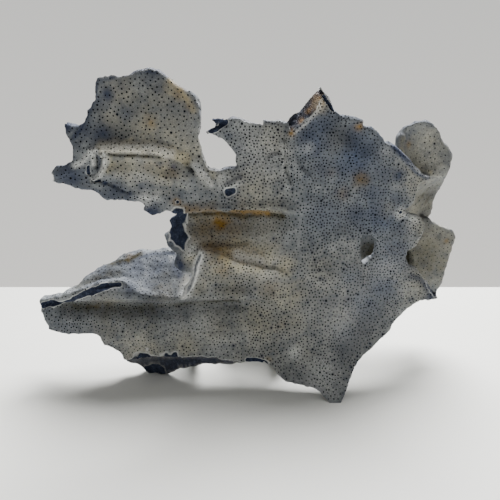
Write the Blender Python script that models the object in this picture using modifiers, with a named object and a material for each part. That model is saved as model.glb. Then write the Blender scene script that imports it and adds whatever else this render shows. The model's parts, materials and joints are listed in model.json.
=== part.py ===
"""Blue coral: a broken colony of upright fronds, resting on three flat feet.

Lengths in the outlines and the depth formulas are millimetres; MM turns them into metres.
X runs along the main frond, Y runs away from its front face and Z is up.
"""
import math

import bmesh
import bpy
from mathutils import Matrix, Vector

MM = 0.001
PLATE = 4.5          # thickness of a frond
THIN = 3.6           # thickness of the small fronds
GRID = 5.2           # spacing of the points that bend a sheet
GAP = 0.3            # clearance between neighbouring fronds at a fork
REACH = 160.0        # length of the prism that trims a sheet
MARGIN = 6.0         # how far a sheet runs past its outline before it is trimmed
FLOOR = -0.6         # nearest depth of the pocket's floor

SKIN = (0.30, 0.32, 0.33)        # weathered blue-grey surface
CREAM = (0.46, 0.43, 0.35)       # worn, cream-coloured surface


def ease(start, end, value):
    """Return 0 before start, 1 after end and a smooth step between them."""
    t = min(max((value - start) / (end - start), 0.0), 1.0)
    return t * t * (3.0 - 2.0 * t)


def fold(value, at, wide):
    """Return a smooth bump of height 1 at a value."""
    return math.exp(-((value - at) / wide) ** 2)


def mix(first, second, share):
    """Return a value between two others."""
    return first + (second - first) * share


# ---------------------------------------------------------------- how the sheets bend

def sway(x, z):
    """Slow swell that every sheet of the colony shares."""
    return 0.9 * math.sin(x / 13.0 + z / 17.0) + 0.6 * math.sin(z / 9.0 - x / 19.0 + 1.0)


def trunk_depth(x, z):
    """Lean of the main frond: its foot comes forward, its sides turn back."""
    foot = -21.0 * math.exp(-z / 22.0) * ease(-60.0, 30.0, x)
    right = 0.0030 * max(x - 25.0, 0.0) ** 2
    left = 0.0005 * max(-x - 20.0, 0.0) ** 2
    top = -0.0013 * max(z - 88.0, 0.0) ** 2
    valley = 4.5 * fold(z, 41.0, 7.0) * ease(32.0, -12.0, x)
    ridge = -4.0 * fold(z, 50.0, 5.0) * ease(28.0, -5.0, x)
    keel = 5.5 * fold(x, -50.0, 8.0) * ease(13.0, 0.0, z)
    return foot + right + left + top + valley + ridge + keel + sway(x, z)


def upper_depth(x, z):
    """Fan and wing: the wing leans back, and its right end slips behind the peak."""
    wing = 0.06 * max(z - 95.0, 0.0) * ease(-32.0, -12.0, x)
    ledge = -2.0 * fold(z, 117.0, 8.0) * ease(-20.0, -36.0, x)
    brow = 0.0016 * max(z - 125.0, 0.0) ** 2
    curl = -0.0012 * max(-x - 50.0, 0.0) ** 2
    free = 1.2 + wing + ledge + brow + curl + sway(x, z)
    joined = mix(free, trunk_depth(x, z), ease(8.0, 24.0, x) * ease(112.0, 100.0, z))
    behind = trunk_depth(x, z) + PLATE + GAP
    return mix(joined, behind, ease(11.0, 18.0, x) * ease(101.0, 108.0, z))


def flange_depth(x, z):
    """Low flange that stands on the ridge in front of the pocket."""
    proud = 4.5 * ease(49.0, 62.0, z) * ease(26.0, 4.0, x)
    return trunk_depth(x, z) - proud


def pocket_depth(x, z):
    """Hollow wall behind the flange, sweeping forward into a floor."""
    wall = 8.5 - 0.030 * max(86.0 - z, 0.0) ** 2
    roof = 6.9 + 0.1 * max(z - 95.0, 0.0)
    hollow = mix(max(wall, FLOOR), roof, ease(88.0, 95.0, z))
    turn = 0.55 * max(-31.0 - x, 0.0)
    return mix(hollow + turn, trunk_depth(x, z), ease(4.0, 24.0, x))


def rear_depth(x, z):
    """Blade that slopes up and back from the ridge."""
    rise = 1.20 * max(z - 46.0, 0.0)
    ahead = 2.5 * ease(-45.0, -25.0, x) + 1.0 * ease(-80.0, -95.0, x)
    return 0.8 + rise - ahead + 0.6 * math.sin(x / 9.0)


def ear_depth(x, z):
    """Cupped lobe at the top, and a strip that turns back to the side frond."""
    reach = math.hypot(x - 85.0, z - 118.0)
    cup = 6.0 * math.exp(-(reach / 11.0) ** 2)
    side = 11.5 + 0.22 * (x - 70.0)
    strip = 0.75 * min(max(x - 75.0, 0.0), 20.0) * ease(106.0, 92.0, z)
    back = 9.0 * ease(92.0, 74.0, z)
    return side + cup + strip + back


def side_depth(x, z):
    """Frond that stands behind the main one."""
    swell = 4.0 * math.sin((x - 12.0) / 24.0) - 0.012 * max(12.0 - x, 0.0) ** 2
    return 37.0 + swell - 0.05 * z + 1.2 * math.sin(z / 11.0 + x / 17.0)


def fin_depth(y, z):
    """Cross frond that ties the side frond to the main one."""
    return 2.0 * math.sin(y / 12.0) + 1.5 * math.sin(z / 15.0)


def prop_depth(y, z):
    """Small cross frond under the rear blade."""
    return 0.25 * y + 1.5 * math.sin(z / 12.0)


# ---------------------------------------------------------------- outlines

FAN = [(-14.2, 108.6), (-17, 109.2), (-18.6, 108.8), (-20.2, 111), (-22.5, 116.5), (-24, 121.5), (-23.2, 127),
       (-22, 132), (-22.4, 137), (-24.6, 141.6), (-31.4, 145.4), (-36, 148.8), (-38.4, 152.8), (-43, 154.5),
       (-48, 154), (-53, 151.5), (-57, 150), (-63, 151), (-66, 149.2), (-67.6, 145), (-68.4, 140),
       (-71.2, 134.6), (-73.4, 130), (-77, 128.4), (-83, 130.2), (-81.6, 124.4), (-79.4, 119), (-79.8, 113.6),
       (-83, 111.6), (-88.2, 110.2), (-91, 104.8), (-87, 103.8), (-81, 101.8), (-72, 99.2), (-68, 95.8),
       (-60, 94.6), (-52, 94), (-49, 92), (-50, 90), (-46, 87.5), (-42, 88.5), (-39, 90), (-35, 88),
       (-28, 89.5), (-21, 91), (-14.2, 91)]
WING = [(-13.9, 108.8), (-12.5, 109.2), (-9, 109.6), (-5.5, 109.2), (-5.2, 110), (-6, 112), (-6, 116), (-9, 119),
        (-11, 122), (-14, 125), (-20, 126), (-15, 128), (-17, 131.5), (-11, 131.5), (-8, 133), (-2, 132.5),
        (5, 131), (11, 130.2), (22, 129.8), (26, 126), (26, 101.5), (23.7, 99.6), (23.7, 89),
        (12, 91), (0, 91.5), (-13.9, 91)]
PEAK = [(17, 124), (17, 119), (17.5, 110), (20, 105), (22, 100.15), (79, 100.15), (83, 101.8), (87.5, 103.6),
        (83, 105.4), (77.2, 109), (73.4, 112.4), (69.8, 116.2), (67.4, 118.6), (65, 120), (62.2, 120.8), (60, 122),
        (57.8, 124.8), (55.2, 127), (52, 128.4), (49.4, 129.6), (47, 131.4),
        (43.3, 132.4), (40.2, 132.8), (37.2, 135.2), (34.8, 139), (32.4, 142.2), (30, 145.5), (25, 142),
        (20, 137), (17, 132)]
TRUNK = [(24.15, 99.85), (79.2, 99.85), (80, 98), (78, 92), (74, 89), (76, 86), (80, 86), (83, 84),
         (86, 80), (85, 75), (82, 70), (78, 68), (77, 64), (79, 60), (83, 58), (87, 54), (92, 48),
         (98, 40), (87.5, 40.4), (79.5, 35.6), (75, 32.2), (70.3, 27.6), (66, 23.6), (61.5, 20.4), (57, 18),
         (53.4, 15), (51, 11.6), (49.2, 8), (46.6, 3.6), (44, 0), (38.5, 0), (36, 2), (32, 5), (25, 6),
         (16, 7), (13, 10), (11, 13), (6, 14), (-2.85, 14), (-2.85, 47.85), (24.15, 47.85)]
WINDOW = [(58, 78), (61, 76), (62, 72), (61, 67), (59, 64), (57, 67), (56, 72), (56, 76)]
SKIRT = [(-3.15, 14), (-9, 12), (-26, 10), (-36, 7), (-44, 2), (-47, 0), (-54, 0), (-57, 5), (-65, 8),
         (-66, 13), (-71, 17), (-76, 18), (-77, 24), (-85, 24), (-93, 24), (-99, 25), (-103.5, 26.5),
         (-106, 34), (-108, 41), (-106.5, 41.6), (-101, 43.2), (-95.5, 45.6), (-91, 47.4), (-86, 49.8), (-80, 52), (-70, 54.5),
         (-62, 56), (-54, 51), (-46, 48), (-38, 47.85), (-3.15, 47.85)]
FLANGE = [(-33, 48.15), (-30.4, 53), (-27.6, 58), (-25.6, 66), (-23.2, 71.8), (-21.6, 72), (-19, 72), (-13, 70), (-7, 67),
          (0, 65.5), (9, 63), (17, 60), (23.85, 58), (23.85, 48.15)]
POCKET = [(-31, 60), (-36, 62), (-35, 68), (-40, 71), (-42, 75), (-39, 78), (-40, 82), (-36, 85),
          (-36, 90), (-33, 97), (-14, 98), (5, 98), (14, 95), (23.6, 88.6), (23.6, 58.4), (10, 58),
          (-20, 58)]
REAR = [(-93, 47.8), (-87, 49.6), (-83, 53), (-79, 55.4), (-73, 57.6), (-69, 59.2), (-65, 61.6), (-60, 62.2),
        (-57, 63), (-50, 62), (-44, 63.5),
        (-33, 63.5), (-24, 62), (-14, 59), (-8, 54), (-8, 48.2), (-33, 48.2), (-46, 47.3), (-70, 47.6),
        (-88, 47.4)]
EAR = [(70, 104), (69, 112), (70.4, 118), (71, 123), (74, 127.4), (79, 129.5), (86, 129), (90.6, 125.6),
       (93.2, 121), (96.4, 117), (99, 113), (98, 109), (98, 102), (98.6, 94), (98.6, 86), (98.8, 80), (98.6, 76),
       (80, 74), (75, 80), (72, 90)]
SIDE = [(-6, 0), (46, 0), (50, 22), (57, 44), (64, 51), (72, 51), (78, 42), (90, 35), (101, 29),
        (104.6, 30.2), (106.8, 42), (108.4, 54), (110, 64), (111, 68.6), (108.8, 71.4), (105.6, 72.8),
        (102, 73.8), (98, 75.4), (94, 78), (88, 80), (70, 77), (52, 80), (38, 74), (24, 78), (8, 70),
        (-5, 72), (-16, 62), (-12, 44), (-16, 26), (-9, 12)]
FIN = [(12, 0), (34.3, 0), (34.3, 66), (26, 76), (14, 72), (6, 84), (1.5, 84), (1.5, 50),
       (-1, 40), (-4.5, 30), (-7, 22), (0, 12), (6, 5)]
PROP = [(10, 6), (18, 0), (26, 0), (30, 14), (31, 30), (27, 48), (18, 60), (10, 53), (4, 47.5),
        (2, 42), (1, 35), (-2, 25), (-3.5, 14)]


def start_afresh():
    """Remove the objects that Blender opens with, and make the two collections."""
    for thing in list(bpy.data.objects):
        bpy.data.objects.remove(thing)
    made = []
    for name in ("blue_coral", "cutters"):
        group = bpy.data.collections.new(name)
        bpy.context.scene.collection.children.link(group)
        made.append(group)
    return made


def make_material(name, colour, roughness):
    """Make a plain stony material."""
    material = bpy.data.materials.new(name)
    material.use_nodes = True
    shader = material.node_tree.nodes["Principled BSDF"]
    shader.inputs["Base Color"].default_value = (*colour, 1.0)
    shader.inputs["Roughness"].default_value = roughness
    shader.inputs["Metallic"].default_value = 0.0
    return material


def to_mesh(thing):
    """Return a new mesh of an object as its modifiers leave it."""
    graph = bpy.context.evaluated_depsgraph_get()
    return bpy.data.meshes.new_from_object(thing.evaluated_get(graph))


def settle(thing):
    """Replace an object's mesh by its evaluated one and drop the modifiers."""
    made = to_mesh(thing)
    thing.modifiers.clear()
    thing.data = made


def stand(across):
    """Matrix that turns a flat drawing upright, its own X along the sheet's run."""
    upright = Matrix.Rotation(math.radians(90.0), 4, "X")
    return across @ upright


def trim_prism(name, outlines, across, group):
    """Extrude closed outlines into a long prism; inner outlines are holes."""
    curve = bpy.data.curves.new(name, "CURVE")
    curve.dimensions = "2D"
    curve.fill_mode = "BOTH"
    curve.extrude = REACH * MM / 2.0
    for outline in outlines:
        spline = curve.splines.new("POLY")
        spline.points.add(len(outline) - 1)
        for point, (run, height) in zip(spline.points, outline):
            point.co = (run * MM, height * MM, 0.0, 1.0)
        spline.use_cyclic_u = True
    drawn = bpy.data.objects.new(name + "_drawing", curve)
    group.objects.link(drawn)
    bpy.context.view_layer.update()
    solid = to_mesh(drawn)
    bpy.data.objects.remove(drawn)
    shape = bmesh.new()
    shape.from_mesh(solid)
    bmesh.ops.remove_doubles(shape, verts=shape.verts, dist=0.00001)
    bmesh.ops.transform(shape, matrix=stand(across), verts=shape.verts)
    shape.to_mesh(solid)
    shape.free()
    cutter = bpy.data.objects.new(name + "_prism", solid)
    group.objects.link(cutter)
    cutter.hide_render = True
    cutter.display_type = "WIRE"
    return cutter


def bent_grid(outline, depth, across):
    """Make a grid that covers an outline, each point pushed to its depth."""
    runs = [point[0] for point in outline]
    heights = [point[1] for point in outline]
    low = Vector((min(runs) - MARGIN, min(heights) - MARGIN))
    high = Vector((max(runs) + MARGIN, max(heights) + MARGIN))
    span = high - low
    shape = bmesh.new()
    bmesh.ops.create_grid(shape, x_segments=round(span.x / GRID), y_segments=round(span.y / GRID), size=0.5)
    for vertex in shape.verts:
        run = low.x + (vertex.co.x + 0.5) * span.x
        height = low.y + (vertex.co.y + 0.5) * span.y
        vertex.co = Vector((run, depth(run, height), height)) * MM
    bmesh.ops.transform(shape, matrix=across, verts=shape.verts)
    mesh = bpy.data.meshes.new("sheet")
    shape.to_mesh(mesh)
    shape.free()
    return mesh


def boolean(thing, operation, other):
    """Cut or trim one object by another and settle the result."""
    step = thing.modifiers.new(operation.lower(), "BOOLEAN")
    step.operation = operation
    step.solver = "EXACT"
    step.object = other
    settle(thing)


def frond(name, outlines, depth, thickness, material, groups, turn=0.0, at=(0.0, 0.0)):
    """Bend a sheet, give it thickness and trim it to its outlines."""
    across = Matrix.Translation((at[0] * MM, at[1] * MM, 0.0)) @ Matrix.Rotation(math.radians(turn), 4, "Z")
    mesh = bent_grid(outlines[0], depth, across)
    mesh.materials.append(material)
    thing = bpy.data.objects.new(name, mesh)
    groups[0].objects.link(thing)
    shell = thing.modifiers.new("thickness", "SOLIDIFY")
    shell.thickness = thickness * MM
    shell.offset = 0.0
    shell.use_even_offset = True
    settle(thing)
    prism = trim_prism(name, outlines, across, groups[1])
    boolean(thing, "INTERSECT", prism)
    return thing


def grown_copy(thing, group):
    """Copy an object and swell it by the clearance, as a cutter."""
    copy = bpy.data.objects.new(thing.name + "_grown", thing.data.copy())
    group.objects.link(copy)
    shape = bmesh.new()
    shape.from_mesh(copy.data)
    bmesh.ops.remove_doubles(shape, verts=shape.verts, dist=0.00001)
    shape.normal_update()
    moves = {vertex: grow_step(vertex) for vertex in shape.verts}
    for vertex, move in moves.items():
        vertex.co += move
    shape.to_mesh(copy.data)
    shape.free()
    copy.hide_render = True
    copy.display_type = "WIRE"
    return copy


def grow_step(vertex):
    """Return the move that carries a vertex outwards by at least the clearance."""
    reach = min(vertex.calc_shell_factor(), 1.8)
    return vertex.normal * GAP * MM * reach


def make_room(thing, neighbours, group):
    """Cut an object back from its neighbours, leaving the clearance."""
    for neighbour in neighbours:
        boolean(thing, "DIFFERENCE", grown_copy(neighbour, group))


def centre_on_foot(group):
    """Move every frond so that the origin is under the middle of the whole."""
    points = [vertex.co for thing in group.objects for vertex in thing.data.vertices]
    low = Vector([min(point[axis] for point in points) for axis in range(3)])
    high = Vector([max(point[axis] for point in points) for axis in range(3)])
    shift = Vector(((low.x + high.x) / 2.0, (low.y + high.y) / 2.0, low.z))
    for thing in group.objects:
        thing.data.transform(Matrix.Translation(-shift))
    print("shift", [round(value / MM, 3) for value in shift])


def main():
    groups = start_afresh()
    skin = make_material("coral_skin", SKIN, 0.85)
    worn = make_material("coral_worn", CREAM, 0.80)

    trunk = frond("trunk_frond", [TRUNK, WINDOW], trunk_depth, PLATE, skin, groups)
    peak = frond("peak_lobe", [PEAK], trunk_depth, PLATE, skin, groups)
    skirt = frond("lower_blade", [SKIRT], trunk_depth, PLATE, skin, groups)
    fan = frond("fan_frond", [FAN], upper_depth, PLATE, worn, groups)
    wing = frond("wing_lobe", [WING], upper_depth, PLATE, skin, groups)
    flange = frond("ridge_flange", [FLANGE], flange_depth, THIN, worn, groups)
    pocket = frond("pocket_frond", [POCKET], pocket_depth, PLATE, worn, groups)
    rear = frond("rear_blade", [REAR], rear_depth, THIN, skin, groups)
    ear = frond("ear_lobe", [EAR], ear_depth, THIN, worn, groups)
    side = frond("side_frond", [SIDE], side_depth, PLATE, worn, groups)
    fin = frond("cross_fin", [FIN], fin_depth, PLATE, skin, groups, turn=90.0, at=(16.0, 0.0))
    prop = frond("rear_prop", [PROP], prop_depth, PLATE, skin, groups, turn=90.0, at=(-26.0, 0.0))

    make_room(wing, [peak], groups[1])
    make_room(pocket, [flange, wing, fan], groups[1])
    make_room(rear, [skirt, flange, pocket, trunk], groups[1])
    make_room(ear, [trunk, peak], groups[1])
    make_room(side, [trunk, ear], groups[1])
    make_room(fin, [trunk, flange, pocket, side, wing, rear, skirt], groups[1])
    make_room(prop, [skirt, rear, trunk, pocket, side], groups[1])
    centre_on_foot(groups[0])


main()
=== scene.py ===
import json
import math
import random

import bmesh
import bpy
import numpy as np
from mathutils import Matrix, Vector, noise
from mathutils.bvhtree import BVHTree
from mathutils.kdtree import KDTree

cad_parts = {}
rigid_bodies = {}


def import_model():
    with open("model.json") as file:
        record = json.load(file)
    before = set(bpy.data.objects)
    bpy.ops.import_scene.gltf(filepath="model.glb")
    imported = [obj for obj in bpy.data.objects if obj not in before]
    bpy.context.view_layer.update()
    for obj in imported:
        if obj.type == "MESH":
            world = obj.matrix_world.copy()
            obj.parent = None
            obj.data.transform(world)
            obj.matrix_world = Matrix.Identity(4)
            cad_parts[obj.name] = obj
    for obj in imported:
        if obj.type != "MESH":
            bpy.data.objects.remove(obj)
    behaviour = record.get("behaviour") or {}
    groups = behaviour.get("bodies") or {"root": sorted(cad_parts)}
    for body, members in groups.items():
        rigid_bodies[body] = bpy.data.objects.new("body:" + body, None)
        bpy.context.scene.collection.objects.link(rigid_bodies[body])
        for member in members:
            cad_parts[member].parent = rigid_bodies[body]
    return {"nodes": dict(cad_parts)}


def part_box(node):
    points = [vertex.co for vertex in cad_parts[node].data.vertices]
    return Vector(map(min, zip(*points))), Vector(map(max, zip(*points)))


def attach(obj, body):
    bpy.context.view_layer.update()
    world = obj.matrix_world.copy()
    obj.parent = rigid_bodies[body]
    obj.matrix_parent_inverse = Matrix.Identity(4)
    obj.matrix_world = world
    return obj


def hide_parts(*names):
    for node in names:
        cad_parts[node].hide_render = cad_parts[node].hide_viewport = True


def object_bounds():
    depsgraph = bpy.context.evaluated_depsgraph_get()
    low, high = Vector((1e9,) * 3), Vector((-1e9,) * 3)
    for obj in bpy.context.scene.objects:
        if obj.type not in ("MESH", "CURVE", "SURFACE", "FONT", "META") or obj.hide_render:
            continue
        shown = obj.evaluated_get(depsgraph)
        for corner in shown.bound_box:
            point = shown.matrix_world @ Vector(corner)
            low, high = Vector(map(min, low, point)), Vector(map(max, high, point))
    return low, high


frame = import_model()        # the plain coral, one node for each main fork
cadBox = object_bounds()
mm = 0.001
samePoint = 0.01 * mm        # points closer than this are one
farAway = 1.0        # metres, further than anything on the coral
random.seed(11)


# Shared mesh helpers

def shapeOf(mesh):
    shape = bmesh.new()
    shape.from_mesh(mesh)
    return shape


def finishedMesh(name, shape, material=None):
    mesh = bpy.data.meshes.new(name)
    shape.to_mesh(mesh)
    shape.free()
    if material is not None:
        mesh.materials.append(material)
    return mesh


def placeObject(name, mesh):
    thing = bpy.data.objects.new(name, mesh)
    bpy.context.scene.collection.objects.link(thing)
    return thing


def boxShape(size, centre):
    box = bmesh.new()
    bmesh.ops.create_cube(box, size=1.0)
    bmesh.ops.scale(box, vec=size, verts=box.verts)
    bmesh.ops.translate(box, vec=centre, verts=box.verts)
    return box


# Places below are (right, up) in mm from the left and bottom of a node's box, seen from the front.

rayStart = 5 * mm        # in front of the node's box
nodeTrees = {}


def nodeTree(name):
    if name not in nodeTrees:
        shape = shapeOf(frame["nodes"][name].data)
        nodeTrees[name] = BVHTree.FromBMesh(shape)
        shape.free()
    return nodeTrees[name]


def spot(node, right, up):
    low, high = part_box(node)
    start = Vector((low.x + right * mm, low.y - rayStart, low.z + up * mm))
    found = nodeTree(node).ray_cast(start, Vector((0.0, 1.0, 0.0)))[0]
    if found is None:        # just off the outline
        level = Vector((start.x, (low.y + high.y) / 2, start.z))
        found = nodeTree(node).find_nearest(level)[0]
    return found


def spots(node, path):
    return [spot(node, point[0], point[1]) for point in path]


# Camera, table and light

cameraSetup = dict(place=(-1.5, -239.9, 147.0), tiltDown=18.5, lens=36.0, film=36.0, nearest=10.0)


def addCamera():
    data = bpy.data.cameras.new("specimenCamera")
    data.lens = cameraSetup["lens"]
    data.sensor_width = cameraSetup["film"]
    data.clip_start = cameraSetup["nearest"] * mm
    camera = placeObject("specimenCamera", data)
    camera.location = Vector(cameraSetup["place"]) * mm
    camera.rotation_euler = (math.radians(90.0 - cameraSetup["tiltDown"]), 0.0, 0.0)
    bpy.context.scene.camera = camera


table = dict(width=2400.0, depth=1100.0, behind=78.0, thick=18.0, edge=1.5)


def addTable():
    low, high = cadBox
    size = Vector((table["width"], table["depth"], table["thick"])) * mm
    backEdge = high.y + table["behind"] * mm
    board = boxShape(size, Vector((0.0, backEdge - size.y / 2, low.z - size.z / 2)))
    bmesh.ops.bevel(board, geom=board.edges, offset=table["edge"] * mm, affect="EDGES",
                    segments=3, profile=0.5, material=-1)
    top = placeObject("tableTop", finishedMesh("tableTop", board, tableMaterial()))


light = dict(key=19.2, keySize=490.0, keyPlace=(104.0, 272.0, 580.0), fill=0.4, fillSize=900.0,
             fillPlace=(-500.0, -900.0, 700.0), aim=(0.0, 0.0, 60.0), glow=(0.08, 0.438),
             glowSpan=(-0.1, 0.9), wall=[(0.0, (1.0, 0.98, 0.935)), (1.0, (0.81, 0.805, 0.775))],
             wallSpan=(-0.4, 0.15))


def addLamp(name, place, size, power):
    data = bpy.data.lights.new(name, "AREA")
    data.shape = "DISK"
    data.size = size * mm
    data.energy = power
    lamp = placeObject(name, data)
    lamp.location = Vector(place) * mm
    lamp.rotation_euler = (lamp.location - Vector(light["aim"]) * mm).to_track_quat("Z", "Y").to_euler()


def addLight():
    addLamp("windowLamp", light["keyPlace"], light["keySize"], light["key"])
    addLamp("fillLamp", light["fillPlace"], light["fillSize"], light["fill"])
    world = bpy.data.worlds.new("paleRoom")
    bpy.context.scene.world = world
    world.use_nodes = True
    tree = world.node_tree
    seen = tree.nodes["Background"]
    soft = tree.nodes.new("ShaderNodeBackground")
    way = tree.nodes.new("ShaderNodeTexCoord")
    split = tree.nodes.new("ShaderNodeSeparateXYZ")
    tree.links.new(way.outputs["Generated"], split.inputs[0])
    height = split.outputs["Z"]
    # the backdrop the camera sees is painted light: lighter towards the bottom, darker higher up
    tree.links.new(ramp(tree, spread(tree, height, *light["wallSpan"]), light["wall"]), seen.inputs["Color"])
    tree.links.new(spread(tree, height, *light["glowSpan"], *light["glow"]), soft.inputs["Strength"])
    rays = tree.nodes.new("ShaderNodeLightPath")
    choose = tree.nodes.new("ShaderNodeMixShader")
    tree.links.new(rays.outputs["Is Camera Ray"], choose.inputs[0])
    tree.links.new(soft.outputs[0], choose.inputs[1])
    tree.links.new(seen.outputs[0], choose.inputs[2])
    tree.links.new(choose.outputs[0], tree.nodes["World Output"].inputs["Surface"])


# Materials. A noise is (scale, detail, roughness), a relief (strength, height in mm).

noiseSpan = (0.3, 0.7)        # most of a noise lies between these


def newMaterial(name):
    material = bpy.data.materials.new(name)
    material.use_nodes = True
    return material, material.node_tree, material.node_tree.nodes["Principled BSDF"]


def objectTexture(tree, kind, scale):
    place = tree.nodes.new("ShaderNodeTexCoord")
    texture = tree.nodes.new(kind)
    texture.inputs["Scale"].default_value = scale
    tree.links.new(place.outputs["Object"], texture.inputs["Vector"])
    return texture


def objectNoise(tree, scale, detail, roughness):
    texture = objectTexture(tree, "ShaderNodeTexNoise", scale)
    texture.inputs["Detail"].default_value = detail
    texture.inputs["Roughness"].default_value = roughness
    return texture.outputs["Fac"]


def objectCells(tree, scale):
    return objectTexture(tree, "ShaderNodeTexVoronoi", scale).outputs["Distance"]


def ramp(tree, source, stops):
    colours = tree.nodes.new("ShaderNodeValToRGB")
    band = colours.color_ramp
    while len(band.elements) < len(stops):
        band.elements.new(0.5)
    for element, (position, colour) in zip(band.elements, stops):
        element.position = position
        element.color = (*colour, 1.0)
    tree.links.new(source, colours.inputs["Fac"])
    return colours.outputs["Color"]


def setInput(tree, socket, value):
    if isinstance(value, tuple):
        socket.default_value = (*value, 1.0)
    elif isinstance(value, float):
        socket.default_value = value
    else:
        tree.links.new(value, socket)


def blendColour(tree, factor, first, second, how="MIX"):
    mixer = tree.nodes.new("ShaderNodeMix")
    mixer.data_type = "RGBA"
    mixer.blend_type = how
    for socket, value in ((0, factor), (6, first), (7, second)):
        setInput(tree, mixer.inputs[socket], value)
    return mixer.outputs[2]


def sums(tree, how, first, second):
    adder = tree.nodes.new("ShaderNodeMath")
    adder.operation = how
    adder.use_clamp = True
    setInput(tree, adder.inputs[0], first)
    setInput(tree, adder.inputs[1], second)
    return adder.outputs[0]


def mixedNoise(tree, first, second, share):
    return sums(tree, "ADD", sums(tree, "MULTIPLY", first, share),
                sums(tree, "MULTIPLY", second, 1.0 - share))


def spread(tree, value, low, high, toLow=0.0, toHigh=1.0):
    mapping = tree.nodes.new("ShaderNodeMapRange")
    mapping.inputs["From Min"].default_value = low
    mapping.inputs["From Max"].default_value = high
    mapping.inputs["To Min"].default_value = toLow
    mapping.inputs["To Max"].default_value = toHigh
    tree.links.new(value, mapping.inputs["Value"])
    return mapping.outputs["Result"]


def stain(tree, name, breakUp, ragged):
    painted = tree.nodes.new("ShaderNodeAttribute")
    painted.attribute_name = name
    bite = spread(tree, breakUp, *noiseSpan, 1.0 - ragged, 1.0 + ragged)
    return sums(tree, "MULTIPLY", painted.outputs["Fac"], bite)


def bump(tree, shader, layers):
    normal = None
    for height, (strength, distance) in layers:
        bumper = tree.nodes.new("ShaderNodeBump")
        bumper.inputs["Strength"].default_value = strength
        bumper.inputs["Distance"].default_value = distance * mm
        tree.links.new(height, bumper.inputs["Height"])
        if normal is not None:
            tree.links.new(normal, bumper.inputs["Normal"])
        normal = bumper.outputs["Normal"]
    tree.links.new(normal, shader.inputs["Normal"])


coreFinish = dict(lumps=(520.0, 4.0, 0.7), dust=(2300.0, 2.0, 0.7), crystals=1700.0,
                  blues=[(0.40, (0.003, 0.005, 0.014)), (0.52, (0.012, 0.019, 0.044)),
                         (0.64, (0.060, 0.073, 0.110))],
                  chalk=(0.40, 0.39, 0.35), rust=(0.430, 0.235, 0.060), ragged=0.6, roughness=0.72,
                  lumpRelief=(0.7, 0.8), crystalRelief=(0.9, 0.30))


def coreColours(tree):
    lumps = objectNoise(tree, *coreFinish["lumps"])
    dust = objectNoise(tree, *coreFinish["dust"])
    return ramp(tree, mixedNoise(tree, lumps, dust, 0.5), coreFinish["blues"]), lumps, dust


wornFinish = dict(ragged=0.2, rim=0.6, rimSpan=(0.12, 0.34), coreSpan=(0.40, 0.62), crust=0.05)


def bareCore(tree, colour, breakUp):        # where the skin is worn off the blue core
    worn = stain(tree, "core", breakUp, wornFinish["ragged"])
    rim = sums(tree, "MULTIPLY", spread(tree, worn, *wornFinish["rimSpan"]), wornFinish["rim"])
    colour = blendColour(tree, rim, colour, skinFinish["chalk"])
    crust = blendColour(tree, wornFinish["crust"], coreColours(tree)[0], skinFinish["blue"])
    return blendColour(tree, spread(tree, worn, *wornFinish["coreSpan"]), colour, crust)


skinFinish = dict(cloud=(75.0, 4.0, 0.62), mottle=(300.0, 3.0, 0.6), grain=(1900.0, 2.0, 0.7), tubes=2300.0,
                  greys=[(0.34, (0.104, 0.117, 0.136)), (0.50, (0.172, 0.185, 0.196)),
                         (0.66, (0.262, 0.277, 0.284))],
                  blue=(0.082, 0.110, 0.172), cream=(0.440, 0.400, 0.278), ink=(0.030, 0.040, 0.074),
                  # the dark olive colour on the next line is painted shade, laid in creases, under ledges
                  # and in hollows
                  paintedShade=(0.034, 0.031, 0.019), rust=(0.205, 0.116, 0.020), chalk=(0.66, 0.67, 0.65),
                  ragged=0.45, speck=0.26, tubeSpan=(0.0, 0.35), tubeShade=0.80, dullSpan=(0.2, 0.8),
                  dull=(0.76, 0.97), shine=0.25, mottleRelief=(0.35, 0.5), grainRelief=(0.45, 0.12),
                  tubeRelief=(0.5, 0.10))


def skinMaterial():
    material, tree, shader = newMaterial("coralSkin")
    cloud = objectNoise(tree, *skinFinish["cloud"])
    mottle = objectNoise(tree, *skinFinish["mottle"])
    grain = objectNoise(tree, *skinFinish["grain"])
    tubes = objectCells(tree, skinFinish["tubes"])
    colour = ramp(tree, mixedNoise(tree, cloud, mottle, 0.6), skinFinish["greys"])
    # the dark olive layer among these is painted shade
    layers = dict(blue=mottle, cream=mottle, ink=cloud, paintedShade=mottle, rust=mottle, chalk=grain)
    for name, breakUp in layers.items():
        factor = stain(tree, name, breakUp, skinFinish["ragged"])
        colour = blendColour(tree, factor, colour, skinFinish[name])
    colour = bareCore(tree, colour, grain)
    speck = spread(tree, grain, *noiseSpan, 1.0 - skinFinish["speck"], 1.0 + skinFinish["speck"])
    colour = blendColour(tree, 1.0, colour, speck, "MULTIPLY")
    fine = spread(tree, tubes, *skinFinish["tubeSpan"], skinFinish["tubeShade"], 1.0)
    colour = blendColour(tree, 1.0, colour, fine, "MULTIPLY")
    tree.links.new(colour, shader.inputs["Base Color"])
    dull = spread(tree, grain, *skinFinish["dullSpan"], *skinFinish["dull"])
    tree.links.new(dull, shader.inputs["Roughness"])
    shader.inputs["Specular IOR Level"].default_value = skinFinish["shine"]
    bump(tree, shader, [(mottle, skinFinish["mottleRelief"]), (grain, skinFinish["grainRelief"]),
                        (tubes, skinFinish["tubeRelief"])])
    return material


def coreMaterial(name):
    material, tree, shader = newMaterial(name)
    colour, lumps, dust = coreColours(tree)
    crystals = objectCells(tree, coreFinish["crystals"])
    for stainName in ("rust", "chalk"):
        factor = stain(tree, stainName, dust, coreFinish["ragged"])
        colour = blendColour(tree, factor, colour, coreFinish[stainName])
    tree.links.new(colour, shader.inputs["Base Color"])
    shader.inputs["Roughness"].default_value = coreFinish["roughness"]
    bump(tree, shader, [(lumps, coreFinish["lumpRelief"]), (crystals, coreFinish["crystalRelief"])])
    return material


poreFinish = dict(dust=(2400.0, 2.0, 0.6), roughness=0.95, shine=0.1,
                  shades=[(0.35, (0.006, 0.008, 0.014)), (0.65, (0.020, 0.024, 0.034))])


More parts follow.
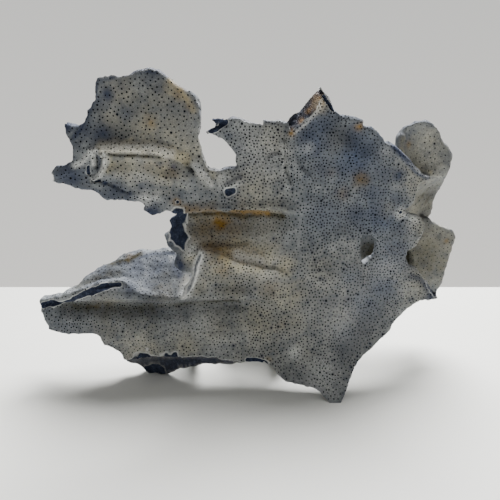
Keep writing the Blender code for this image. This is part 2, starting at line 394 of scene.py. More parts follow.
def poreMaterial():
    material, tree, shader = newMaterial("coralPore")
    colour = ramp(tree, objectNoise(tree, *poreFinish["dust"]), poreFinish["shades"])
    tree.links.new(colour, shader.inputs["Base Color"])
    shader.inputs["Roughness"].default_value = poreFinish["roughness"]
    shader.inputs["Specular IOR Level"].default_value = poreFinish["shine"]
    return material


tableFinish = dict(cloud=(6.0, 3.0, 0.6), whites=[(0.3, (0.80, 0.80, 0.755)), (0.7, (0.84, 0.84, 0.795))],
                   roughness=0.6)


def tableMaterial():
    material, tree, shader = newMaterial("tableWhite")
    colour = ramp(tree, objectNoise(tree, *tableFinish["cloud"]), tableFinish["whites"])
    tree.links.new(colour, shader.inputs["Base Color"])
    shader.inputs["Roughness"].default_value = tableFinish["roughness"]
    return material


# Each main part of the colony, in mm. Bends move a whole sheet: path, radius, shift to the rear, how
# much steeper below. Ridges: path, radius, height, how much steeper below. Pits: path, radius, depth.
# Breaks: path of (right, up, how far the back of the break stands out past the front), outward way.
# Spots: (right, up, radius, strength). Streaks: kind, path, radius, strength. Pores stand about poreGap
# apart, more by the share lowGap at the foot, and the share inky of them is wide and stained.

# Spots and streaks of the dark olive kind are painted shade under ledges, in creases and in hollows.
fan = dict(
    node="fan_frond", poreGap=1.66, poreRadius=0.35,
    bends=[
        ([(25, 31), (30, 31), (40, 31), (50, 30.5), (55, 28.5), (59, 26.5), (63, 24.5)], 5.5, -3.2, 3.4),
        ([(24, 25), (34, 25), (46, 24.5), (54, 22)], 5.0, 1.2, 1.0),
        ([(28, 20), (40, 20), (52, 18), (62, 16)], 6.0, -1.4, 1.6),
        ([(26, 50), (32, 40)], 7.0, 1.2, 1.0),
        ([(48, 56), (52, 42)], 8.0, -1.0, 1.0),
    ],
    ridges=[
        ([(16, 25.5), (17.6, 28), (19.5, 30.2)], 1.4, 1.6, 1.0),
        ([(19.5, 30.6), (22.4, 31.2), (24.6, 29.2)], 1.8, 3.4, 0.9),
        ([(25.2, 28.8), (25.4, 26), (24.2, 22.4), (22.4, 19.6), (19.4, 17.8)], 1.7, 3.4, 1.0),
        ([(26, 32.2), (36, 32.4), (46, 32.2), (54, 31)], 2.0, 1.1, 1.0),
        ([(64.5, 24.5), (68.5, 20), (70.5, 17.5), (73.5, 15)], 3.0, 2.2, 1.8),
        ([(36, 10), (42, 9), (50, 9)], 2.0, 0.8, 1.0),
        ([(5, 20), (12, 21.5), (17, 22)], 4.0, 1.0, 1.6),
    ],
    pits=[
        ([(27, 28.9), (33, 28.8), (39.5, 28.4), (50.5, 28.0)], 1.1, 0.7),
        ([(61.5, 26), (63, 24.5), (64.5, 22)], 2.2, 2.6),
        ([(18, 16.8), (21.5, 16.8)], 1.4, 2.2),
        ([(22, 16.2), (25, 15.5), (28.5, 13.5), (32, 11.5), (36, 10)], 1.1, 1.2),
        ([(21.2, 28.4), (21.6, 25.6), (21.2, 22.6)], 1.3, 2.0),
        ([(17.4, 20.2), (18.0, 23.4)], 1.1, 2.2),
        ([(57, 6.4)], 1.6, 1.6),
        ([(40, 6.5), (42, 9)], 1.0, 0.8),
        ([(44, 7), (47, 9)], 1.0, 0.8),
    ],
    breaks=[
        dict(path=[(23, 60.4, -1.2), (27, 62, -1.2), (31, 62.4, -1.2), (34, 62, -1.0), (38, 62.4, 0.2),
                   (42.5, 64.2, 0.8), (47, 65, 0.9), (51, 64.2, 0.7), (55, 61.6, -0.6)],
             way=(0, 1), reach=5.0),
        dict(path=[(1.6, 14, 0.6), (1.4, 17, 0.7), (1.6, 20.5, 0.6)], way=(-1, 0)),
    ],
    spots=dict(
        cream=[(34, 55, 8, 0.4), (45, 40, 10, 0.45), (57, 38, 9, 0.45), (52, 24, 9, 0.6), (30, 44, 6, 0.4),
               (57, 57.5, 4, 0.9), (61, 54, 3, 0.6), (62, 32, 9, 0.5), (36, 23, 7, 0.5), (28, 24, 3, 0.7),
               (73, 20, 5, 0.5), (55, 54, 9, 0.3)],
        ink=[(24, 52, 5, 0.6), (28.5, 54.5, 4.5, 0.75), (52.5, 57.5, 4, 0.5), (64, 49, 4, 0.4),
             (17, 41, 7, 0.65), (25, 38, 6.5, 0.75), (37, 47, 6, 0.45), (9, 20, 8, 0.95), (28, 11, 6, 0.8),
             (44, 2, 5, 1.0), (49, 63, 5, 0.5), (56, 23, 3.5, 0.8), (26, 60, 5, 0.4), (50, 24.5, 2.5, 0.6),
             (9, 41, 4, 0.8), (12, 33, 4, 0.4), (35, 58, 4, 0.45), (24, 15.5, 1.6, 1.0),
             (28, 13.8, 1.6, 1.0), (62, 40, 6, 0.3), (57, 50, 6, 0.3), (47, 34.5, 5, 0.3),
             (31.5, 11.4, 1.8, 1.0), (35, 10.4, 1.5, 1.0), (33, 9, 3, 0.7), (41, 13, 3, 0.6)],
        paintedShade=[(34, 38, 6, 0.3), (63, 24.5, 2.6, 0.9), (46, 52, 7, 0.25), (60, 44, 7, 0.25)],
        rust=[(47, 43, 2.5, 0.4), (44, 23, 2.6, 0.2), (55, 20, 3.5, 0.2), (57, 6.4, 2.2, 0.6),
              (60, 55.5, 2.6, 0.4), (64, 50, 2.4, 0.25)],
        chalk=[(62, 38, 9, 0.12), (42, 8, 3.6, 0.6), (47, 8.5, 2.4, 0.45), (27, 63, 2, 0.3),
               (40, 22, 5, 0.2)],
    ),
    streaks=[
        # the cream and chalk along the brow are its pale colour and partly a painted highlight on its lit
        # top
        ("cream", [(26, 32.3), (38, 32.6), (48, 32.3), (56, 30.3), (62, 27)], 2.6, 1.8),
        ("chalk", [(26, 31.8), (38, 32.1), (48, 31.8), (56, 29.6)], 2.1, 0.7),
        ("rust", [(26, 32), (38, 32.3), (48, 32), (56, 30)], 2.4, 0.12),
        ("cream", [(56, 60), (60, 57), (63.5, 52.5), (66, 48)], 1.5, 0.9),
        ("rust", [(56, 60), (60, 57), (63.5, 52.5)], 1.5, 0.25),
        ("cream", [(26, 30), (27, 26), (26, 22)], 2.2, 0.8),
        ("paintedShade", [(56, 27), (60, 25), (64, 22.4), (66, 20)], 1.6, 0.45),
        ("paintedShade", [(26.5, 28.8), (33, 28.6), (39.5, 28.3), (50.5, 27.8)], 0.9, 1.0),
        ("chalk", [(12, 24), (15.6, 25.6), (17.4, 28), (20, 30.4), (23, 30.8)], 1.4, 0.8),
        ("chalk", [(25.4, 29), (25.6, 26), (24.4, 22.4), (22.6, 19.6), (19.4, 17.8)], 1.2, 1.4),
        ("chalk", [(20.2, 28), (20.2, 24)], 0.9, 1.0),
        ("ink", [(22.2, 27.8), (22.6, 25), (21.8, 22)], 0.8, 0.9),
        ("core", [(17.4, 20.2), (17.9, 23.6)], 0.8, 1.3),
        ("core", [(18.2, 16.8), (21.5, 16.6)], 0.9, 1.2),
        ("ink", [(22, 16.2), (25, 15.5), (28.5, 13.5), (32, 11.5), (36, 10)], 1.3, 0.5),
        ("ink", [(12, 36), (16, 40), (20, 48), (22.5, 55), (24, 61), (34, 62.5), (44, 65), (54, 63)],
         1.7, 0.8),
        ("ink", [(0, 17), (10, 13), (20, 11), (30, 7), (38, 6.5)], 2.2, 0.6),
        ("core", [(57, 6.4)], 0.8, 1.1),
        ("rust", [(59, 3.2), (66, 3.2), (74, 3.4)], 2.2, 0.5),
        ("chalk", [(66, 24), (68.5, 21), (70.8, 18.2), (73.5, 15.5)], 2.0, 0.5),
    ],
)

wing = dict(
    node="wing_lobe", poreGap=1.3, poreRadius=0.36,
    bends=[([(20, 30), (26, 14)], 9.0, -0.8, 1.0)],
    ridges=[
        ([(0, 14.5), (3, 13.2), (6, 12.3), (10, 12.3), (13.5, 13.5), (15.5, 15.5)], 2.8, 2.0, 1.5),
        ([(28, 20.5), (29, 24.5), (31.5, 26), (34.5, 25.5), (37, 23)], 2.6, 1.8, 1.4),
        ([(35.5, 31), (36, 25), (36, 18), (37.5, 13)], 2.8, 2.0, 1.0),
    ],
    pits=[
        ([(3, 40), (6, 40), (8.5, 40.6)], 2.4, 2.2),
        ([(8.5, 9.6), (11, 9.8)], 2.6, 1.3),
    ],
    breaks=[
        dict(path=[(8, 42.4, -0.6), (12, 42.8, 0.3), (16, 42.2, 0.4), (20, 40.8, 0.2), (26, 39.8, -0.6)],
             way=(0, 1)),
    ],
    spots=dict(
        cream=[(22, 12, 10, 0.35), (30, 34, 8, 0.3), (25, 3, 10, 0.35)],
        ink=[(14, 29, 2.4, 0.8), (11, 35, 2.2, 0.7), (14, 21, 2.2, 0.6), (4, 20.6, 2.5, 0.4)],
        paintedShade=[(10, 18.8, 2, 0.3)],
        rust=[(16, 5, 3, 0.15)],
        chalk=[(24, 28, 13, 0.28), (18, 38, 7, 0.25), (7, 15.5, 3.5, 0.5)],
    ),
    streaks=[
        ("core", [(2.5, 38.2), (2.5, 41), (8.5, 41.2), (4.5, 38.6)], 1.7, 1.5),
        ("ink", [(9.6, 9.6), (12.4, 10.6)], 2.8, 0.8),
        ("core", [(10.2, 9.8), (12.0, 10.6)], 2.1, 0.9),
        ("ink", [(2.5, 38.2), (2.5, 41), (8.5, 41.2)], 2.2, 0.9),
        ("chalk", [(3, 13.0), (6, 12.4), (10, 12.4), (13.5, 13.8)], 1.8, 0.45),
        ("chalk", [(28.5, 23), (30, 25.6), (34, 25.6)], 1.4, 0.3),
        ("chalk", [(35.5, 31), (35.8, 25), (36, 19)], 2.4, 0.5),
        ("ink", [(8, 42.8), (14, 43.2), (24, 41.4), (34, 40.4)], 1.2, 0.5),
    ],
)

peak = dict(
    node="peak_lobe", poreGap=1.22, poreRadius=0.33,
    bends=[([(8, 22), (20, 20), (34, 14)], 9.0, -1.0, 1.0), ([(26, 26), (34, 20)], 6.0, 1.2, 1.0)],
    ridges=[
        ([(24.5, 31.5), (28, 31), (31.5, 30)], 2.4, 1.6, 1.4),
        ([(1.8, 25), (1.8, 19), (2.8, 13.5), (5.4, 9.5), (9, 6.5)], 2.4, 1.5, 1.0),
        ([(46, 20.5), (50, 17), (55, 13), (60, 9), (66, 5.5), (70, 4)], 1.8, 1.3, 1.0),
    ],
    pits=[([(14.2, 41.2), (16, 39.3), (18, 36.8), (19.5, 35)], 0.9, 1.8)],
    breaks=[
        dict(path=[(1.2, 26.4, 2.5), (3.5, 28.5, 4.0), (6, 30.5, 4.6), (9, 33.2, 5)], way=(-0.35, 0.94),
             back=-0.4, reach=4.5),
        dict(path=[(8.4, 32.6, 5), (11.5, 36.5, 4.4), (13, 39.5, 3.4), (15, 42.5, 2.4)], way=(-0.75, 0.66),
             reach=8.0),
    ],
    spots=dict(
        cream=[(12, 38, 3.4, 0.8), (20, 22, 6, 0.2)],
        ink=[(17, 30, 7, 0.6), (3.5, 28, 4, 0.9), (7.5, 24, 5, 0.75), (11, 18, 5, 0.7), (36, 18, 9, 0.5),
             (15.5, 42, 3, 0.7), (28, 24, 8, 0.6), (18.5, 21, 6, 0.5), (16, 10, 8, 0.5), (33, 9, 7, 0.6),
             (45, 7, 7, 0.65), (42, 16, 5, 0.6), (52, 6, 4, 0.9), (26, 10, 7, 0.5), (22, 36, 6, 0.4),
             (10, 28, 6, 0.5), (25, 18, 6, 0.4)],
        blue=[(14, 24, 9, 0.8), (30, 16, 10, 0.8)],
        paintedShade=[(22, 27, 6, 0.3), (34, 4.5, 3.5, 0.6)],
        rust=[(12.8, 38.6, 2.6, 1.1), (5.6, 31.0, 1.3, 0.5), (1.3, 25.6, 1.4, 1.0), (16, 39.0, 1.6, 0.4),
              (31.5, 28.5, 1.8, 0.8), (20, 8, 2.5, 0.12), (33.5, 4.8, 3.2, 0.32)],
        chalk=[(9, 19, 3, 0.25), (44, 17, 3, 0.2), (12.4, 38.2, 2.4, 0.7)],
    ),
    streaks=[
        ("core", [(14.4, 41.6), (16, 39.3), (18, 36.8), (19.2, 35.4)], 0.75, 1.2),
        ("rust", [(12.6, 41), (10.6, 38), (8, 34.6)], 0.9, 0.8),
        ("ink", [(36, 30), (42, 26), (46, 22), (50, 19), (54, 15.5)], 1.6, 0.8),
        ("ink", [(48, 19.5), (52, 16), (56, 12.4), (61, 8.6), (66, 5.5), (71, 4)], 1.7, 1.1),
        ("chalk", [(50, 20), (54, 15.6), (58, 12), (62, 9.2), (67, 6.4), (71.4, 4.4)], 0.6, 0.5),
        ("chalk", [(1.2, 24.4), (3.6, 26.4), (7, 29.4), (10, 32.6), (13, 36)], 0.7, 0.5),
    ],
)

trunk = dict(
    node="trunk_frond", poreGap=1.12, poreRadius=0.35, lowGap=0.26,
    bends=[
        ([(12, 68), (28, 62), (44, 56)], 9.0, -1.0, 1.6),
        ([(-3, 50), (6, 50.5), (12, 52)], 6.5, -2.2, 1.9),
        ([(-3, 43.5), (6, 44.5)], 6.0, 1.2, 1.0),
        ([(60, 40), (52, 26)], 10.0, 1.4, 1.0),
        ([(30, 30), (20, 22)], 8.0, -1.0, 1.4),
        ([(66, 70), (70, 84)], 7.0, 1.0, 1.0),
        ([(44, 76), (50, 62), (56, 50)], 8.0, -1.0, 1.0),
    ],
    ridges=[
        ([(77, 87), (81.5, 86), (85, 83.5), (86.5, 79), (85, 75)], 2.4, 1.2, 1.0),
        ([(59, 77.5), (61.5, 78.6), (65, 75)], 1.8, 0.9, 1.0),
    ],
    pits=[([(75.8, 87.2)], 1.4, 1.8)],
    windows=[dict(centre=(62.4, 71.2), size=(3.3, 7.5), taper=0.3, turn=-6.0)],
    breaks=[
        dict(path=[(88, 57, 0.3), (90.5, 54, 0.6), (93, 50, 0.8), (96, 45, 0.9), (99, 41, 0.8)],
             way=(0.8, 0.6), deep=2.6, back=0.2),
        dict(path=[(10, 15, 0.4), (14, 11.6, 0.6), (18, 8.2, 0.6), (23, 5.6, 0.4)], way=(-0.7, -0.7)),
    ],
    spots=dict(
        cream=[(20, 52, 12, 0.45), (8, 34, 12, 0.4), (36, 60, 12, 0.2), (30, 22, 12, 0.2), (68, 90, 5, 0.3),
               (24, 36, 10, 0.3)],
        ink=[(64, 57, 8, 0.35), (50, 20, 7, 0.3), (52, 45, 5, 0.25), (42, 46, 5, 0.25), (76, 79, 5, 0.4),
             (58, 30, 8, 0.35), (97, 42, 4, 1.0), (44, 90, 9, 0.35), (66, 42, 6, 0.2), (45, 98, 6, 0.4),
             (52.5, 87, 8, 0.6), (64.5, 89, 8, 0.6), (60, 99, 7, 0.6), (71.5, 94, 5, 0.5), (76, 68, 8, 0.5),
             (84, 60, 8, 0.45), (70, 52, 9, 0.4), (36, 92, 8, 0.4)],
        blue=[(59, 42, 12, 1.0), (52, 56, 8, 0.7), (68, 50, 9, 0.9), (50, 30, 9, 0.8), (46, 45, 7, 0.5),
              (66, 86, 12, 0.7), (38, 84, 9, 0.4), (72, 66, 14, 0.6), (44, 38, 16, 0.5)],
        paintedShade=[(10, 46, 6, 0.3)],
        rust=[(46, 98, 3, 0.25), (18, 33, 3, 0.15), (12, 16, 1.5, 0.3)],
        chalk=[(25, 20, 3.5, 0.45), (75.5, 87.5, 2.4, 0.8), (82, 84, 3, 0.3), (38, 10, 8, 0.35),
               (70, 60, 8, 0.2), (48, 34, 9, 0.18)],
    ),
    streaks=[
        ("core", [(75, 88)], 0.9, 1.3),
        ("paintedShade", [(75, 88.6), (77, 88.2)], 1.2, 0.6),
        ("paintedShade", [(-2, 44), (6, 45.5), (12, 47)], 2.4, 0.3),
        ("paintedShade", [(75.8, 87.0), (75.4, 86.2)], 0.9, 1.3),
        ("core", [(2, 15), (8, 14.4), (13, 12.8), (15, 10.6)], 1.5, 1.2),
        ("ink", [(84, 55), (90, 52), (94, 47), (98, 41)], 2.2, 0.7),
    ],
)

pocket = dict(
    node="pocket_frond", poreGap=1.36, poreRadius=0.31, inky=0.012,
    bends=[
        ([(14, 30.5), (26, 31.5), (40, 31), (52, 32), (60, 32)], 6.0, -2.4, 2.2),
        ([(16, 24), (30, 25), (46, 25), (58, 26)], 6.0, 1.6, 1.0),
        ([(22, 9), (36, 8), (48, 6)], 7.0, -1.8, 1.0),
    ],
    pits=[([(21, 13.5), (27.5, 14), (36, 15), (40, 15.5)], 2.4, 1.2)],
    spots=dict(
        cream=[(38, 10.5, 8, 1.15), (48, 8.5, 8, 1.1), (58, 5, 6, 0.8), (22, 20, 12, 0.4), (46, 20, 9, 0.4),
               (14, 9, 4, 0.7)],
        ink=[(3, 14, 3.5, 0.7), (4, 8, 4, 0.7)],
        paintedShade=[(30, 27, 5, 0.5), (44, 26, 6, 0.5), (56, 28, 5, 0.4), (20, 26, 5, 0.5), (26, 11.5, 4, 0.4)],
        rust=[(27.5, 23.6, 4.2, 1.0), (29, 12.5, 5, 0.5), (33, 21, 6, 0.35), (20, 20, 7, 0.3)],
        chalk=[(13.5, 12, 3, 0.7), (47, 20, 6, 0.3), (41, 8, 6, 0.3), (50, 7, 7, 0.35)],
    ),
    streaks=[
        ("cream", [(18, 32), (27.5, 32), (37, 31.6), (48, 31), (56, 30.6)], 1.8, 0.5),
        # the cream and chalk on the floor are its yellow colour, lifted further as painted light where the
        # pocket shades it
        ("cream", [(30, 11.2), (40, 9.6), (48, 7.4)], 3.2, 1.8),
        ("chalk", [(36, 10.4), (42, 9.2), (48, 7.6)], 3.0, 0.6),
        ("rust", [(20, 14), (26, 12.6), (32, 11.4), (40, 10.2), (46, 8.4)], 3.2, 0.55),
        ("paintedShade", [(21, 13.6), (28, 12.6)], 3.0, 0.35),
        ("rust", [(13, 31.6), (22, 31.4), (30, 31.0), (38, 30.4)], 1.6, 0.7),
        ("rust", [(38, 30.4), (45, 30), (50, 29.4)], 1.7, 1.1),
        ("paintedShade", [(13, 29), (25, 28.6), (32.5, 28), (40, 27), (48, 28), (57, 28.6)], 2.3, 1.0),
        ("core", [(8.2, 30.4), (7, 27.4), (5.6, 24), (5.6, 20.5), (7.8, 17)], 4.1, 1.3),
        ("ink", [(7, 8), (8.5, 5), (9.5, 2)], 2.8, 1.0),
        ("paintedShade", [(20, 13.2), (27.5, 13.8), (36, 15), (40, 15.5)], 2.4, 0.3),
    ],
)

flange = dict(
    node="ridge_flange", poreGap=1.4, poreRadius=0.33,
    ridges=[
        ([(3.4, 1.5), (5.6, 7), (7.4, 11.5), (8.6, 16), (11.4, 21.5)], 2.2, 1.5, 1.0),
    ],
    pits=[([(2.6, 2), (4.8, 7), (6.6, 12), (7.8, 16.5), (10, 21.5)], 1.1, 1.3)],
    spots=dict(
        cream=[(18, 16, 9, 0.45), (8, 6, 7, 0.35), (30, 12, 9, 0.3), (40, 6, 8, 0.3), (24, 4, 9, 0.3)],
        paintedShade=[(22, 8, 10, 0.2), (36, 10, 8, 0.2)],
        rust=[(20, 14.5, 3, 0.35), (43, 5, 4, 0.2)],
        chalk=[(12, 22, 2.5, 0.2)],
    ),
    streaks=[
        ("rust", [(12, 25), (22, 22), (31, 18.6)], 2.2, 0.6),
        ("paintedShade", [(16, 24), (22, 22), (31, 18.6)], 1.1, 0.4),
        ("ink", [(0.6, 0.4), (2.4, 1.8), (4.8, 6.6), (6.6, 11.6), (7.6, 16.5), (9.8, 21.8)], 1.2, 0.9),
        ("core", [(0.6, 0.4), (2.4, 1.8), (4.8, 6.6), (6.6, 11.6), (7.6, 16.5), (9.8, 21.8)], 1.25, 0.58),
        ("chalk", [(0.6, 0.4), (2.4, 1.8), (4.8, 6.6), (6.6, 11.6), (7.6, 16.5), (9.8, 22)], 1.9, 1.2),
    ],
)

blade = dict(
    node="lower_blade", poreGap=1.46, poreRadius=0.33, inky=0.012,
    bends=[
        ([(14, 43), (30, 46), (46, 47.5), (60, 46.5), (76, 46.5), (92, 47.5), (104, 49)], 6.5, -3.4, 1.9),
        ([(14, 37.5), (24, 38), (44, 38.5), (64, 38.5), (84, 39.5), (100, 42)], 6.0, 2.2, 1.0),
        ([(40, 22), (60, 24), (80, 26), (98, 28)], 8.0, -1.8, 1.6),
    ],
    pits=[
        ([(17, 40.3), (19.5, 40.6)], 0.9, 1.6),
        ([(3, 39), (10.5, 41), (14.5, 42.5), (18, 44), (24.5, 47.5), (31, 50.5), (38, 52.8), (44, 54)],
         1.9, 1.2),
    ],
    breaks=[
        dict(path=[(42, 9.8, 0.8), (46, 10.4, 1.8), (50, 11, 3.4), (54, 12.2, 7), (57.5, 13.2, 9.5),
                   (62, 13.8, 8.6), (68, 14.2, 8.2), (76, 15, 6.8), (84, 15.8, 6.2), (91, 15.4, 5.6),
                   (98, 14.2, 4.4), (106, 13.6, 2.2)], way=(0, -1), deep=1.5, reach=4.0),
    ],
    spots=dict(
        cream=[(52, 18, 11, 0.5), (75, 22, 9, 0.4), (38, 44, 6, 0.3), (90, 30, 10, 0.3), (34, 26, 8, 0.25)],
        ink=[(12, 28, 7, 0.3), (50, 52, 4, 0.6), (30, 25, 7, 0.3), (63, 50, 8, 0.8)],
        paintedShade=[(34, 37, 6, 0.5), (47, 36, 6, 0.6), (20, 36, 5, 0.3), (57, 33, 4, 0.35), (64, 50, 8, 0.7)],
        rust=[(30, 41, 4, 0.15)],
        chalk=[(14, 33, 3, 0.15), (50, 18, 9, 0.2), (72, 32, 7, 0.2), (66, 44, 6, 0.2), (83, 33.5, 7, 0.35),
               (92, 23, 6, 0.2)],
    ),
    streaks=[
        ("paintedShade", [(14, 37.5), (24, 37.4), (36, 38), (47, 37.4), (58, 38.6)], 3.2, 0.7),
        ("paintedShade", [(58, 38.8), (68, 39.6), (78, 40.6), (88, 41.6), (102, 43.2)], 1.9, 0.75),
        ("core", [(2, 38.8), (6.5, 39.7)], 1.4, 1.3),
        ("core", [(6.5, 39.7), (10.5, 41), (14.5, 42.5), (18, 44)], 1.8, 1.4),
        ("core", [(18, 44), (21.5, 46), (24.5, 47.5), (27.5, 49), (31, 50.5), (34, 51.8), (38, 53)],
         1.6, 1.3),
        ("core", [(54, 9), (57.5, 5), (60, 3), (63, 6), (68, 10)], 6.0, 1.6),
        ("core", [(38, 53), (41.5, 53.6), (44.6, 54)], 1.1, 1.3),
        ("paintedShade", [(50, 44.6), (60, 44.4), (72, 45), (84, 46)], 0.8, 0.5),
    ],
)

rearBlade = dict(
    node="rear_blade", poreGap=1.6, poreRadius=0.29,
    spots=dict(
        cream=[(60, 5, 4, 0.3)],
        ink=[(50, 3, 8, 0.35), (46, 10, 7, 0.7), (56, 10, 4.5, 0.9), (57, 7, 3, 0.9), (20, 8, 7, 0.6),
             (34, 10, 8, 0.6), (42, 4, 6, 0.4)],
        paintedShade=[(29, 13, 3, 0.4), (22, 8, 14, 0.2), (46, 5, 16, 0.2)],
        rust=[(30, 14, 1.5, 0.2)],
    ),
    streaks=[
        ("paintedShade", [(3, 1.5), (7.5, 2.5), (12, 4.5), (17, 6), (21.5, 7.5), (26, 7.5)], 2.4, 0.6),
        ("paintedShade", [(20, 10.6), (27, 14), (31, 15.2), (36, 15)], 1.3, 0.9),
        ("ink", [(5, 3), (12, 7), (22, 11.4), (31, 14.8), (42, 14.6), (53, 15)], 1.3, 0.6),
    ],
)

ear = dict(
    node="ear_lobe", poreGap=2.0, poreRadius=0.29,
    bends=[([(14, 38), (16, 34)], 9.0, 2.4, 1.4)],
    ridges=[
        ([(3, 49), (2.5, 43), (5, 38), (9, 34.5), (14, 32)], 1.8, 1.8, 1.0),
    ],
    spots=dict(
        cream=[(15, 35, 14, 0.4), (22, 12, 14, 0.5), (18, 45, 10, 0.35)],
        ink=[(4, 47, 3.5, 0.5), (28, 38, 3, 0.3), (24, 47, 2.2, 0.4), (18, 54, 2.5, 0.4), (25, 18, 8, 0.5),
             (25, 6, 7, 0.5)],
        paintedShade=[(11, 38, 5, 0.4), (10, 44, 4, 0.3), (24, 14, 12, 0.6)],
        rust=[(7, 45, 1.6, 0.6)],
        chalk=[(18, 38, 7, 0.2)],
    ),
    streaks=[
        ("cream", [(3, 48), (2.8, 43), (5.4, 38.4), (9.5, 35), (14, 32.6), (20, 31.4)], 1.6, 0.8),
        ("paintedShade", [(6, 43), (8, 39), (12, 35.6), (17, 34)], 2.0, 0.35),
    ],
)

side = dict(
    node="side_frond", poreGap=1.8, poreRadius=0.28,
    pits=[([(102, 58), (103.6, 53)], 3.6, 3.2)],
    windows=[dict(centre=(85.2, 52.4), size=(2.4, 5.4), turn=-8.0)],
    spots=dict(
        cream=[(110, 60, 22, 0.45), (60, 40, 30, 0.3), (20, 20, 20, 0.3)],
        # the dark blue spot and the dark olive spot at (84, 58) are painted shade where this frond shows
        # through the trunk's window
        ink=[(118, 68, 2, 0.4), (112, 52, 3, 0.4), (107, 60, 3, 0.3), (84, 58, 6, 0.4), (40, 50, 9, 0.5),
             (75, 30, 8, 0.4), (15, 45, 7, 0.5), (60, 66, 8, 0.45), (30, 15, 8, 0.4)],
        blue=[(25, 60, 14, 0.7), (65, 48, 12, 0.6), (45, 28, 12, 0.6)],
        paintedShade=[(105, 50, 6, 0.3), (112, 56, 14, 0.5), (50, 20, 9, 0.25), (84, 58, 6, 1.3)],
        rust=[(122, 66, 1.4, 0.7)],
    ),
    streaks=[("paintedShade", [(102.2, 58), (103.4, 53)], 2.6, 1.5)],
)

parts = [fan, wing, peak, trunk, pocket, flange, blade, rearBlade, ear, side]


# One skin over the whole colony

skinShape = dict(swell=0.35, swellLimit=1.8, voxel=0.68, smoothing=10, softness=0.5, lump=0.42, lumpSize=6.5,
                 wrinkle=0.20, wrinkleSize=2.2, ragged=2.6, footFlat=1.5, footFade=3.0, bendReach=12.0,
                 bendFade=5.0, frontOnly=0.35, sharpAngle=38.0)


def appliedMesh(thing):
    bpy.context.view_layer.update()
    viewed = thing.evaluated_get(bpy.context.evaluated_depsgraph_get())
    return bpy.data.meshes.new_from_object(viewed)


def fusedSkin():
    joined = bmesh.new()
    for node in frame["nodes"].values():
        piece = shapeOf(node.data)
        bmesh.ops.remove_doubles(piece, verts=piece.verts, dist=samePoint)
        piece.normal_update()
        limit = skinShape["swellLimit"]
        moves = [(vert, vert.normal * min(vert.calc_shell_factor(), limit)) for vert in piece.verts]
        for vert, way in moves:
            vert.co += way * skinShape["swell"] * mm        # closes the gaps between the forks
        joined.from_mesh(finishedMesh("swollen", piece))
    colony = placeObject("colony", finishedMesh("colony", joined))
    melt = colony.modifiers.new("melt", "REMESH")
    melt.mode = "VOXEL"
    melt.voxel_size = skinShape["voxel"] * mm
    soften = colony.modifiers.new("soften", "SMOOTH")
    soften.factor = skinShape["softness"]
    soften.iterations = skinShape["smoothing"]
    colony.data = appliedMesh(colony)
    colony.modifiers.clear()
    return colony


def meshArrays(mesh):
    count = len(mesh.vertices)
    places = np.empty(count * 3, np.float32)
    normals = np.empty(count * 3, np.float32)
    mesh.vertices.foreach_get("co", places)
    mesh.vertices.foreach_get("normal", normals)
    return places.reshape(-1, 3).astype(float), normals.reshape(-1, 3).astype(float)


def distanceTo(places, path, under):
    nearest = np.full(len(places), farAway)
    for first, last in zip(path, path[1:] or path):
        start = np.array(first)
        run = np.array(last) - start
        along = np.clip((places - start) @ run / max(run @ run, 1e-12), 0.0, 1.0)
        away = places - start - along[:, None] * run
        away[:, 2] *= np.where(away[:, 2] < 0.0, under, 1.0)
        nearest = np.minimum(nearest, np.linalg.norm(away, axis=1))
    return nearest


def swellAround(places, path, radius, under):        # 1 on the path, 0 at the radius
    share = np.clip(distanceTo(places, path, under) / radius, 0.0, 1.0)
    return (1.0 - share ** 2) ** 2


def fadeIn(values, start, run):
    return np.clip((values - start) / run, 0.0, 1.0)


def bend(places, path, radius, shift, under):
    level = sum(point.y for point in path) / len(path)
    flat = places * np.array([1.0, 0.0, 1.0])
    flatPath = [Vector((point.x, 0.0, point.z)) for point in path]
    depth = level + skinShape["bendReach"] * mm - places[:, 1]
    near = fadeIn(depth, 0.0, skinShape["bendFade"] * mm)        # sheets further back stay
    places[:, 1] += shift * swellAround(flat, flatPath, radius, under) * near


def sculpt(places, normals, path, radius, height, under=1.0):
    points = [tuple(point) for point in path]
    low = np.min(points, axis=0) - radius
    high = np.max(points, axis=0) + radius
    near = np.all((places > low) & (places < high), axis=1)
    near &= normals[:, 1] < skinShape["frontOnly"]        # not the rear side of the sheet
    chosen = np.nonzero(near)[0]
    push = height * swellAround(places[chosen], points, radius, under)
    places[chosen] += normals[chosen] * push[:, None]


def unevenness(places, size):
    return np.array([noise.noise(Vector(place) / (size * mm)) for place in places])


def carveRelief(colony):
    mesh = colony.data
    places, normals = meshArrays(mesh)
    lumps = unevenness(places, skinShape["lumpSize"])
    wrinkles = unevenness(places + 0.5, skinShape["wrinkleSize"])
    rims = 1.0 + skinShape["ragged"] * (1.0 - np.abs(normals[:, 1])) ** 2
    swell = (lumps * skinShape["lump"] + wrinkles * skinShape["wrinkle"]) * rims * mm
    high = fadeIn(places[:, 2], skinShape["footFlat"] * mm, skinShape["footFade"] * mm)
    swell *= high        # feet stay flat
    places += normals * swell[:, None]
    for part in parts:
        for path, radius, shift, under in part.get("bends", []):
            bend(places, spots(part["node"], path), radius * mm, shift * mm, under)
    for part in parts:
        for path, radius, height, under in part.get("ridges", []):
            sculpt(places, normals, spots(part["node"], path), radius * mm, height * mm, under)
        for path, radius, depth in part.get("pits", []):
            sculpt(places, normals, spots(part["node"], path), radius * mm, -depth * mm)
    mesh.vertices.foreach_set("co", places.astype(np.float32).ravel())
    mesh.update()


# Broken edges and windows. A part's own break or window changes any of these that it names.

breakShape = dict(pitch=0.45, front=1.5, deep=4.6, back=1.0, reach=2.2, rough=0.55, roughSize=1.3, notch=0.7,
                  notchSize=4.5)
windowShape = dict(corners=40, taper=0.0, front=4.0, deep=9.0, rough=0.22, roughSize=3.0)


